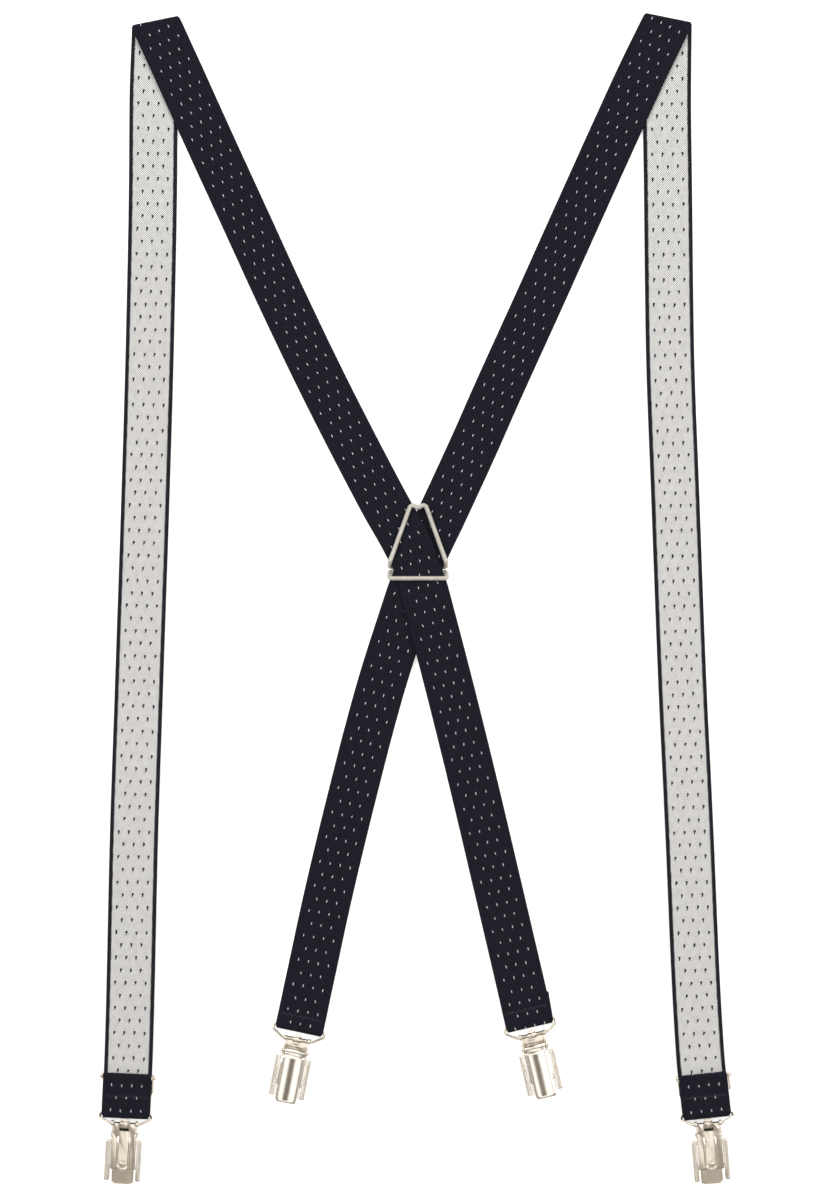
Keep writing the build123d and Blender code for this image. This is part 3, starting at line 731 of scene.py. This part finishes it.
def build_strap(side, strap):
    """Webbing, woven dashes and both seams of one strap."""
    rows = strap_rows(strap)
    dice = random.Random(f"{side} strap")
    front, back = strap["front"], strap["back"]
    _, _, return_end, loop_end, run_end, _, diagonal_end = (rows.counts[:7] - 1).tolist()
    run = np.arange(loop_end, run_end)
    split = int(run[np.argmax(rows.middle[run, 1] >= strap["fold"][1] - FOLD_SPLIT)])
    last = len(rows.middle) - 1
    anchors = {
        "return": rows.along[return_end] - RETURN_PATTERN,
        "run": rows.along[loop_end] + RUN_PATTERN,
        "diagonal": rows.along[diagonal_end] + strap["back_anchor"],
    }
    stretches = {
        f"{front}_return": [("return", 0, loop_end)],
        f"{front}_run": [("run", loop_end, split)],
        f"{side}_strap": [("run", split, run_end), ("diagonal", run_end, last)],
    }
    made = {}
    for name, patterns in stretches.items():
        first, end = patterns[0][1], patterns[-1][2]
        piece = webbing_piece(f"{name}_webbing", rows, first, end)
        white, navy = [], []
        for anchor, low, high in patterns:
            ends = rows.along[low], rows.along[high], anchors[anchor]
            white += strands_between(*ends, dice, DASH)
            navy += strands_between(*ends, dice, TICK)
        dashes = threads(f"{name}_dashes", rows, 1, white, DASH, "pin_dash")
        ticks = threads(f"{name}_ticks", rows, -1, navy, TICK, "tick")
        made[name] = [piece, dashes, ticks]
    for piece in made[f"{front}_return"]:
        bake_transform(piece)
    for piece in made[f"{front}_run"]:
        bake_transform(piece)
    for piece in made[f"{side}_strap"]:
        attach(piece, "straps")
    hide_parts(f"{side}_strap_back_run")
    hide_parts(f"{front}_webbing", f"{side}_strap_front_run")
    seams = [
        (front, rows.along[return_end] - FRONT_SEAM, f"{front}_adjuster"),
        (back, rows.along[diagonal_end] - strap["back_seam"], "straps"),
    ]
    for end_name, distance, body in seams:
        strands = seam_strands(distance)
        seam = threads(f"{end_name}_seam", rows, 1, strands, STITCH, "seam")
        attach(seam, body)
        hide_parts(f"{end_name}_stitching")


# ---------------------------------------------------------------- metal shapes, in millimetres
def outline(corners, steps=5, between=1):
    """Counter-clockwise outline through corners of x, y and fillet radius. Each fillet has a number
    of steps, and each side is cut into the number between."""
    area = sum(a[0] * b[1] - b[0] * a[1] for a, b in zip(corners, corners[1:] + corners[:1]))
    corners = corners if area > 0 else corners[::-1]
    arcs = []
    for number, (x, y, radius) in enumerate(corners):
        here = np.array([x, y], float)
        before = unit(np.array(corners[number - 1][:2]) - here)
        after = unit(np.array(corners[(number + 1) % len(corners)][:2]) - here)
        half = math.acos(np.clip(before @ after, -1, 1)) / 2
        centre = here + unit(before + after) * (radius / math.sin(half))
        reach = radius / math.tan(half)
        start, end = here + before * reach - centre, here + after * reach - centre
        arcs.append(
            [centre + unit(start + (end - start) * t) * radius for t in np.linspace(0, 1, steps)]
        )
    points = []
    for arc, following in zip(arcs, arcs[1:] + arcs[:1]):
        points += arc
        for share in np.arange(1, between) / between:
            points.append(arc[-1] + (following[0] - arc[-1]) * share)
    return np.array(points)


def rectangle(x, y, radius):
    """Corners of a rectangle between two values of x and two of y."""
    return [(x[0], y[0], radius), (x[1], y[0], radius), (x[1], y[1], radius), (x[0], y[1], radius)]


def inset(points, amount):
    """The outline moved inwards."""
    coming = unit(points - np.roll(points, 1, axis=0) + 1e-9)
    going = unit(np.roll(points, -1, axis=0) - points + 1e-9)
    inward = np.array([[0, 1], [-1, 0]])
    normal = unit(coming @ inward + going @ inward)
    cosine = np.maximum((normal * (coming @ inward)).sum(1), 0.5)
    return points + normal * (amount / cosine)[:, None]


class Shape:
    """Metal parts gathered in one mesh."""

    def __init__(self):
        self.points, self.faces, self.slots = [], [], []

    def skin(self, rings, slot=0, closed=False):
        """Skin over rings with the same number of points, capped where it isn't closed."""
        base, around = len(self.points), len(rings[0])
        for ring in rings:
            self.points += [tuple(point) for point in ring]
        count = len(rings)
        faces = []
        for row in range(count if closed else count - 1):
            low, high = base + row * around, base + (row + 1) % count * around
            for k in range(around):
                after = (k + 1) % around
                faces.append((low + k, low + after, high + after, high + k))
        if not closed:
            faces.append(tuple(base + k for k in reversed(range(around))))
            faces.append(tuple(base + (count - 1) * around + k for k in range(around)))
        self.faces += faces
        self.slots += [slot] * len(faces)

    def plate(self, points, low, high, bevel=0.15, upright=False, slot=0):
        """Flat piece from one height to another; an upright piece has its outline in y and z."""
        small = inset(points, bevel)
        mid = inset(points, bevel * 0.3)
        levels = [
            (small, low),
            (mid, low + bevel * 0.3),
            (points, low + bevel),
            (points, high - bevel),
            (mid, high - bevel * 0.3),
            (small, high),
        ]
        order = [2, 0, 1] if upright else [0, 1, 2]
        rings = [
            np.column_stack([ring, np.full(len(ring), level)])[:, order] for ring, level in levels
        ]
        self.skin(rings, slot)

    def box(self, x, y, z, bevel=0.1, slot=0):
        """Block between two values of x, y and z."""
        self.plate(outline(rectangle(x, y, 0.05), 2), *z, bevel, slot=slot)

    def turned(self, profile, centre, axis, closed=False):
        """Round piece about x or z through centre, from places along the axis and radii."""
        sides = 28
        angle = np.linspace(0, math.tau, sides, endpoint=False)
        rings = []
        for place, radius in profile:
            a, b = radius * np.cos(angle), radius * np.sin(angle)
            level = np.full(sides, float(place))
            ring = [level, a, b] if axis == "x" else [a, b, level]
            rings.append(np.column_stack(ring) + np.array(centre))
        self.skin(rings, closed=closed)

    def sleeve(self, ends, outer, inner, centre, bevel=0.18):
        """Tube about x with rounded rims."""
        low, high = ends
        profile = [
            (low + bevel, outer),
            (high - bevel, outer),
            (high - bevel * 0.3, outer - bevel * 0.3),
            (high, outer - bevel),
            (high, inner),
            (low, inner),
            (low, outer - bevel),
            (low + bevel * 0.3, outer - bevel * 0.3),
        ]
        self.turned(profile, centre, "x", True)

    def rod(self, path, radius, closed=False):
        """Round wire along a path that lies in one plane of constant z."""
        sides = 14
        path = np.array(path, float)
        if closed:
            travel = unit(np.roll(path, -1, axis=0) - np.roll(path, 1, axis=0))
        else:
            travel = unit(np.gradient(path, axis=0))
        side = np.cross(travel, UP)
        angle = np.linspace(0, math.tau, sides, endpoint=False)[:, None]
        circles = [radius * (way * np.cos(angle) + UP * np.sin(angle)) for way in side]
        rings = [point + circle for point, circle in zip(path, circles)]
        if not closed:
            nose = radius * 0.5
            rings.insert(0, path[0] - travel[0] * nose + 0.55 * circles[0])
            rings.append(path[-1] + travel[-1] * nose + 0.55 * circles[-1])
        self.skin(rings, closed=closed)

    def piece(self, name, matrix, finishes, slot, body):
        """Object in its place, riding its body."""
        piece = new_piece(name, self.points, self.faces, finishes)
        mesh = piece.data
        mesh.polygons.foreach_set("material_index", self.slots)
        mesh.transform(matrix)
        mesh.update()
        mesh.set_sharp_from_angle(angle=math.radians(50))
        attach(piece, body)
        return piece


# ---------------------------------------------------------------- clip, as in the CAD model
# origin on the barrel's axis, x across, y towards the strap, z to the lever's side
CROWN = 0.45
CROWN_HALF = 4.5
LEVER_HALF = 5.6
LEVER_TOP = 4.75  # along both sides, CROWN lower than in the middle
LEVER_INSIDE = 4.1
LEVER_ENDS = (-33.0, -7.9)
LEVER_PIN_Y, LEVER_PIN_Z = -6.0, 3.2
JAW_PIN_Y, JAW_PIN_Z = -6.9, 0.7
BASE_LOW, BASE_TOP = -1.5, -0.7
TONGUE_HALF, TONGUE_END = 6.3, -24.2
KNUCKLE, RING_HOLE = 1.5, 0.72
RING_WIRE = 0.65
RING_BAR, RING_NECK = 13.3, 7.9
RIB_HALF, RIB_TURN_Y = 3.0, -20.6
WING_INSIDE, WING_EDGE = 6.8, 9.35
WING_ENDS = (-29.9, -8.9)
JAW_ENDS = (-24.1, -9.0)
TOOTH_ROWS = [-28.9 + number * 1.13 for number in range(18)]


def crown(x):
    """Height of the lever's rounded top."""
    return LEVER_TOP + CROWN * (1 - np.minimum(np.abs(x) / CROWN_HALF, 1.1) ** 2)


def pan_ring(depth, level, share):
    """One ring of the lever's skin, at a depth in from its rim."""
    half = LEVER_HALF - depth
    front, rear = LEVER_ENDS[0] + depth, LEVER_ENDS[1] - depth
    corner = max(0.2, min(2.0 - 0.25 * depth, 0.9 * half))
    back = min(0.8, corner)
    corners = [(-half, front, corner), (half, front, corner * 0.8), (half, rear, back), (-half, rear, back)]
    flat = outline(corners, 6, 8)
    return np.column_stack([flat, level + share * (crown(flat[:, 0]) - LEVER_TOP)])


def lever_shape():
    """Pressed channel with a crowned top, a rolled end and the bridge between them."""
    outer = [
        (0.06, 3.15, 0),
        (0.0, 3.5, 0),
        (0.06, 4.0, 0.1),
        (0.22, 4.35, 0.3),
        (0.5, 4.6, 0.6),
        (0.85, 4.72, 0.9),
    ]
    outer += [(depth, LEVER_TOP, 1) for depth in (1.2, 1.9, 2.6, 3.4, 4.2, 4.9)]
    inner = [(depth, LEVER_INSIDE, 1) for depth in (4.9, 4.2, 3.4, 2.6, 1.7)]
    inner += [(1.1, 4.02, 0.8), (0.75, 3.8, 0.2), (0.62, 3.5, 0), (0.58, 3.15, 0)]
    rings = [pan_ring(*ring) for ring in outer[::-1] + inner]
    shape = Shape()
    shape.skin(rings)
    inside = len(outer) * len(rings[0])
    # The channel's inside gets the second finish: rougher, and darkened as painted shade for the recess.
    shape.slots[inside:-2] = [1] * len(shape.slots[inside:-2])
    shape.slots[-1] = 1
    shape.sleeve((-5.4, 5.4), 1.4, 0.66, (0, LEVER_PIN_Y, LEVER_PIN_Z))
    shape.box((-5.0, 5.0), (-8.5, -6.8), (3.5, 4.25))
    return shape


def base_shape():
    """Knuckles round the ring, slotted neck, two ears for the pins, and a ribbed tongue."""
    shape = Shape()
    tongue = [
        (5.4, -3.5, 0.1),
        (-5.4, -3.5, 0.1),
        (-5.6, -4.9, 0.3),
        (-TONGUE_HALF, -5.6, 0.5),
        (-TONGUE_HALF, TONGUE_END, 1.6),
        (TONGUE_HALF, TONGUE_END, 1.6),
        (TONGUE_HALF, -5.6, 0.5),
        (5.6, -4.9, 0.3),
    ]
    shape.plate(outline(tongue), BASE_LOW, BASE_TOP, 0.22)
    for side in (-1, 1):
        strip = rectangle((side * 2.35, side * 5.45), (0.4, -3.7), 0.1)
        shape.plate(outline(strip), BASE_LOW, BASE_TOP, 0.12)
        ear = [
            (-0.9, -1.45, 0.2),
            (-8.2, -1.45, 0.4),
            (-8.1, 2.6, 0.5),
            (-7.6, 4.75, 1.3),
            (-4.4, 4.75, 1.3),
            (-3.3, 1.5, 0.5),
            (-0.9, 1.3, 0.3),
        ]
        low, high = sorted((side * 5.72, side * 6.32))
        shape.plate(outline(ear), low, high, 0.12, upright=True)
        low, high = sorted((side * 5.6, side * 7.1))
        shape.sleeve((low, high), KNUCKLE, RING_HOLE, (0, 0, 0))
    shape.sleeve((-2.25, 2.25), KNUCKLE, RING_HOLE, (0, 0, 0))
    tab = [(-2.1, 0.6, 0.1), (2.1, 0.6, 0.1), (1.9, 2.5, 0.6), (-1.9, 2.5, 0.6)]
    shape.plate(outline(tab), -0.5, 0.5, 0.15)
    centre = [(-2.2, 0.4, 0.1), (2.2, 0.4, 0.1), (2.2, -2.1, 0.3), (-2.2, -2.1, 0.3)]
    shape.plate(outline(centre), BASE_LOW, -0.8, 0.12)
    shape.box((-5.3, 5.3), (-4.4, -0.9), (-0.62, -0.2), 0.08)
    # Near-black plates under the neck's middle slot and behind the knuckle gaps: painted shadow where the
    # gaps are dark.
    shape.box((-2.7, 2.7), (-3.9, -1.7), (-0.78, -0.66), 0.04, slot=1)
    shape.box((-5.6, 5.6), (-0.95, 0.95), (-1.25, -0.75), 0.04, slot=1)
    angles = np.linspace(0, -math.pi, 15)
    turn = [(RIB_HALF * math.cos(a), RIB_TURN_Y + RIB_HALF * math.sin(a)) for a in angles]
    rib = [(RIB_HALF, -6.6), (RIB_HALF, -12.0), *turn, (-RIB_HALF, -12.0), (-RIB_HALF, -6.6)]
    shape.rod([(x, y, -1.42) for x, y in rib], 0.62)
    return shape


def wing_plan(side):
    """Outline of one wing of a jaw, with its comb of teeth along the outer edge."""
    end, start = WING_ENDS
    gap = 8.1
    edge = [(WING_INSIDE, start, 0.3), (WING_INSIDE, end, 0.4), (WING_EDGE, end, 0.6)]
    for y in TOOTH_ROWS[:-1]:
        low, high = y + 0.34, y + 0.79
        edge += [(x, low, 0.05) for x in (WING_EDGE, gap)]
        edge += [(x, high, 0.05) for x in (gap, WING_EDGE)]
    edge.append((WING_EDGE, start, 0.3))
    return outline([(side * x, y, radius) for x, y, radius in edge], 3)


def jaw_shape(plate, lip, ridge, face):
    """Jaw plate between two wings with a row of teeth and the knurled ridges behind them."""
    shape = Shape()
    shape.box((-6.15, 6.15), JAW_ENDS, plate)
    for side in (-1, 1):
        shape.plate(wing_plan(side), *plate, 0.06)
        low, high = sorted((side * 6.0, side * 6.95))
        for y in (-10.0, -23.0):
            shape.box((low, high), (y - 0.6, y + 0.6), plate)
        teeth = [
            (8.45, WING_EDGE, 0.33, lip, 0.12),
            (7.75, 9.2, 0.28, ridge, 0.1),
            (6.95, 7.4, 0.25, face, 0.08),
        ]
        for y in TOOTH_ROWS:
            for near, far, half, height, bevel in teeth:
                low, high = sorted((side * near, side * far))
                shape.box((low, high), (y - half, y + half), height, bevel)
    return shape


def back_jaw_shape():
    return jaw_shape((-0.7, 0.1), (0.0, 1.0), (-1.05, -0.5), (-0.95, -0.5))


def front_jaw_shape():
    """Moving jaw, with a neck down to its sleeve on the jaw pin."""
    shape = jaw_shape((2.2, 3.0), (1.2, 2.3), (2.8, 3.3), (2.8, 3.2))
    neck = [
        (-10.6, 2.25, 0.1),
        (-9.1, 2.25, 0.2),
        (-7.7, 0.6, 0.2),
        (-7.1, 1.45, 0.1),
        (-8.6, 2.95, 0.2),
        (-10.6, 2.95, 0.1),
    ]
    shape.plate(outline(neck), -5.2, 5.2, 0.1, upright=True)
    shape.sleeve((-5.2, 5.2), 1.0, 0.55, (0, JAW_PIN_Y, JAW_PIN_Z), 0.12)
    return shape


def rivet_shape():
    """Domed rivet head on a low collar, with its shank through the jaw."""
    shape = Shape()
    head = [(-2.28, 0.3), (-2.25, 0.8), (-2.12, 1.2), (-1.9, 1.45), (-1.74, 1.5), (-1.72, 1.6)]
    head += [(-1.78, 1.8), (-1.72, 2.0), (-1.55, 2.05), (-1.45, 1.2), (0.1, 1.1), (0.1, 1.6), (0.6, 1.2)]
    shape.turned(head, (0, -20.9, 0), "z")
    return shape


def lever_pin_shape():
    """Pin with two upset heads."""
    shape = Shape()
    half = [(7.15, 0.35), (7.1, 0.62), (6.95, 0.8), (6.45, 0.85), (6.38, 0.58)]
    profile = [(-place, radius) for place, radius in half] + half[::-1]
    shape.turned(profile, (0, LEVER_PIN_Y, LEVER_PIN_Z), "x")
    return shape


def ring_shape():
    """Wire trapezium: origin on the bar in the strap's loop, its neck bar towards -y."""
    shape = Shape()
    right = [(RING_NECK, -6.0, 1.0), (RING_BAR, -2.6, 0.9), (RING_BAR, 0, 1.1)]
    path = outline(right + [(-x, y, radius) for x, y, radius in right[::-1]], 7, 4)
    shape.rod(np.column_stack([path, np.zeros(len(path))]), RING_WIRE, closed=True)
    return shape


def adjuster_shape():
    """Cross bar in the sewn end, a short ear on one side and a long rail on the other."""
    shape = Shape()
    middle_z = BAR_Z / MM
    bar = rectangle((17.9, 19.9), (middle_z - 0.4, middle_z + 0.4), 0.3)
    shape.plate(outline(bar), -13.3, 13.3, 0.1, upright=True)
    short_ear = [(18.2, 0.3, 0.6), (20.8, 0.3, 0.6), (20.8, 5.6, 0.9), (18.2, 5.6, 0.9)]
    shape.plate(outline(short_ear), -14.1, -13.5, 0.15, upright=True)
    rail = [(11.6, 3.5, 0.8), (20.4, 3.5, 0.8), (20.4, 5.8, 0.9), (11.6, 5.8, 0.9)]
    shape.plate(outline(rail), 12.95, 13.8, 0.2, upright=True)
    leg = rectangle((18.3, 20.6), (0.3, 4.5), 0.5)
    shape.plate(outline(leg), 13.35, 13.9, 0.12, upright=True)
    curl = [(-0.85, 0.4), (-0.75, 0.75), (-0.45, 1.0), (0, 1.1)]
    curl += [(-place, radius) for place, radius in curl[-2::-1]]
    shape.turned(curl, (-13.2, 19.9, 5.0), "x")
    shape.turned(curl, (14.0, 19.2, 5.0), "x")
    return shape


def frame_matrix(origin, x_way, y_way, z_way):
    """Millimetres in a local frame to metres in the row frame."""
    columns = [Vector(way) * MM for way in (x_way, y_way, z_way)] + [Vector(origin)]
    matrix = Matrix.Identity(4)
    for column, vector in enumerate(columns):
        for row in range(3):
            matrix[row][column] = vector[row]
    return matrix


def clip_matrices(name):
    """Frames of a clip and of its ring, from the places of its joints."""
    barrel = joint_at[f"{name}_clip_swing"]
    to_lever = joint_at[f"{name}_lever_turn"] - barrel
    to_jaw = joint_at[f"{name}_jaw_open"] - barrel
    y_way = (to_lever * JAW_PIN_Z - to_jaw * LEVER_PIN_Z).normalized()
    z_way = (to_lever - y_way * LEVER_PIN_Y * MM).normalized()
    x_way = y_way.cross(z_way)
    ring_bar = joint_at[f"{name}_ring_swing"]
    ring_y = (ring_bar - barrel).normalized()
    clip = frame_matrix(barrel, x_way, y_way, z_way)
    return clip, frame_matrix(ring_bar, x_way, ring_y, x_way.cross(ring_y))


# ---------------------------------------------------------------- build
add_camera()
add_studio()
materials = make_materials()
for side, strap in STRAPS.items():
    build_strap(side, strap)

CLIP_PARTS = [
    ("base", base_shape(), ["nickel_sheet", "painted_slot_shadow"], "nickel_sheet", "clip"),
    ("back_jaw", back_jaw_shape(), ["nickel_teeth"], "nickel_teeth", "clip"),
    ("jaw_rivet", rivet_shape(), ["nickel_wire"], "nickel_wire", "clip"),
    ("lever_pin", lever_pin_shape(), ["nickel_wire"], "nickel_wire", "clip"),
    ("front_jaw", front_jaw_shape(), ["nickel_teeth"], "nickel_teeth", "front_jaw"),
    ("lever", lever_shape(), ["polished_nickel", "dull_shaded_nickel"], "polished_nickel", "lever"),
]
for strap in STRAPS.values():
    for name in (strap["front"], strap["back"]):
        clip_matrix, ring_matrix = clip_matrices(name)
        for part, shape, finishes, slot, body in CLIP_PARTS:
            made = shape.piece(f"{name}_{part}_metal", clip_matrix, finishes, slot, f"{name}_{body}")
            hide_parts(f"{name}_{part}")
        wire = ring_shape().piece(
            f"{name}_ring_wire", ring_matrix, ["nickel_wire"], "nickel_wire", f"{name}_ring"
        )
        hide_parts(f"{name}_ring")
    name, yaw = strap["front"], strap["front_yaw"]
    end_matrix = frame_matrix(front_point(strap, 0, 0), across(yaw), along(yaw), UP)
    slider = adjuster_shape().piece(
        f"{name}_adjuster_metal", end_matrix, ["nickel_sheet"], "nickel_sheet", f"{name}_adjuster"
    )
    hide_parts(f"{name}_adjuster_frame")

CAD_FINISH = {
    "crossing_wire": "crossing_nickel",
    "pin": "nickel_wire",
    "adjuster_lever": "nickel_sheet",
}
for name, node in frame["nodes"].items():
    if node.hide_render:
        continue
    finish = next(slot for ending, slot in CAD_FINISH.items() if name.endswith(ending))
    node.data.materials.clear()
    node.data.materials.append(materials[finish])
    if finish != "nickel_sheet":
        node.data.polygons.foreach_set("use_smooth", [True] * len(node.data.polygons))

bpy.context.scene.view_settings.view_transform = "Standard"
